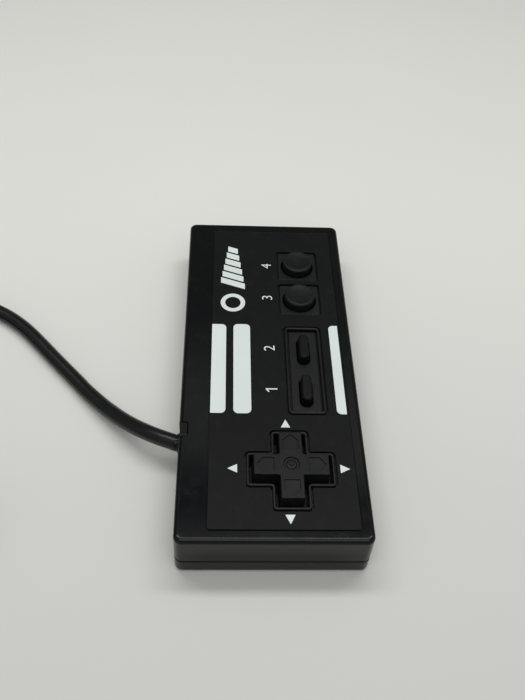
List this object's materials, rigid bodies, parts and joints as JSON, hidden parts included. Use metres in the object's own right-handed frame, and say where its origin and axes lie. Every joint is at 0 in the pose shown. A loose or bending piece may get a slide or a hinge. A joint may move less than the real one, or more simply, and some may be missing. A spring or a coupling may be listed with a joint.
{
  "type": "game controller",
  "caption": "Flat wired hand controller with a rocking direction cross, round action buttons, small rubber keys, and a coiled cord that ends in a D-shaped plug.",
  "frame": {"origin": "middle of the flat rear face that the case rests on, halfway along its length and width, without the cord", "axes": "+X along the case from the direction cross to the round buttons, +Y towards the long edge that the cord leaves, +Z out of the printed face"},
  "size_m": [0.1305, 0.2052, 0.0204],
  "materials": {
    "case_gloss": "moulded black, glossy",
    "plate_print": "matte black film with white print",
    "control_plastic": "satin black moulding",
    "key_rubber": "matte black rubber",
    "silicone": "translucent grey silicone",
    "carbon": "matte carbon",
    "nylon": "natural nylon",
    "screw_steel": "zinc-plated",
    "board_mask": "green solder mask",
    "chip_black": "moulded epoxy with tinned legs",
    "resistor_tan": "lacquered tan with colour bands",
    "can_sleeve": "dark blue sleeve",
    "header_white": "natural nylon block",
    "wire_colours": "coloured lead insulation",
    "cord_pvc": "satin black jacket",
    "plug_black": "moulded black, finely grained",
    "plug_steel": "tinned steel",
    "contact_gold": "gold flash"
  },
  "bodies": {
    "case": {"bottom_shell": "case_gloss", "top_shell": "case_gloss", "faceplate": "plate_print", "case_screws": "screw_steel", "cross_mat": "silicone", "button_mat": "silicone", "key_mat": "silicone", "circuit_board": "board_mask", "board_screws": "screw_steel", "contact_pads": "carbon", "encoder_chip": "chip_black", "resistors": "resistor_tan", "capacitor": "can_sleeve", "wire_header": "header_white", "lead_wires": "wire_colours", "cord_grommet": "cord_pvc", "cord_clamp": "header_white", "clamp_screws": "screw_steel", "cord_run": "cord_pvc", "cord_coil": "cord_pvc", "coil_tie": "cord_pvc", "cord_tail": "cord_pvc", "plug_boot": "plug_black", "plug_body": "plug_black", "plug_flange": "plug_steel", "plug_insulator": "chip_black", "plug_contacts": "contact_gold"},
    "cross_rocker": {"pivot_ball": "nylon"},
    "cross": {"cross_pad": "control_plastic", "cross_contacts": "carbon"},
    "button_3": {"button_3": "control_plastic", "button_3_contact": "carbon"},
    "button_4": {"button_4": "control_plastic", "button_4_contact": "carbon"},
    "key_1": {"key_1": "key_rubber", "key_1_contact": "carbon"},
    "key_2": {"key_2": "key_rubber", "key_2_contact": "carbon"}
  },
  "joints": [
    {"name": "cross_tilt_y", "type": "hinge", "parent": "case", "child": "cross_rocker", "pos_m": [-0.041, -0.0051, 0.0106], "axis": [1, 0, 0], "range_deg": [-5, 5], "stiffness_Nm_per_rad": 0.12, "deforming": ["cross_mat"]},
    {"name": "cross_tilt_x", "type": "hinge", "parent": "cross_rocker", "child": "cross", "pos_m": [-0.041, -0.0051, 0.0106], "axis": [0, 1, 0], "range_deg": [-5, 5], "stiffness_Nm_per_rad": 0.12},
    {"name": "button_3_press", "type": "slide", "parent": "case", "child": "button_3", "axis": [0, 0, -1], "range_m": [0, 0.0016], "stiffness_N_per_m": 600, "springref_m": -0.0004, "deforming": ["button_mat"]},
    {"name": "button_4_press", "type": "slide", "parent": "case", "child": "button_4", "axis": [0, 0, -1], "range_m": [0, 0.0016], "stiffness_N_per_m": 600, "springref_m": -0.0004},
    {"name": "key_1_press", "type": "slide", "parent": "case", "child": "key_1", "axis": [0, 0, -1], "range_m": [0, 0.0012], "stiffness_N_per_m": 500, "springref_m": -0.0004, "deforming": ["key_mat"]},
    {"name": "key_2_press", "type": "slide", "parent": "case", "child": "key_2", "axis": [0, 0, -1], "range_m": [0, 0.0012], "stiffness_N_per_m": 500, "springref_m": -0.0004}
  ]
}
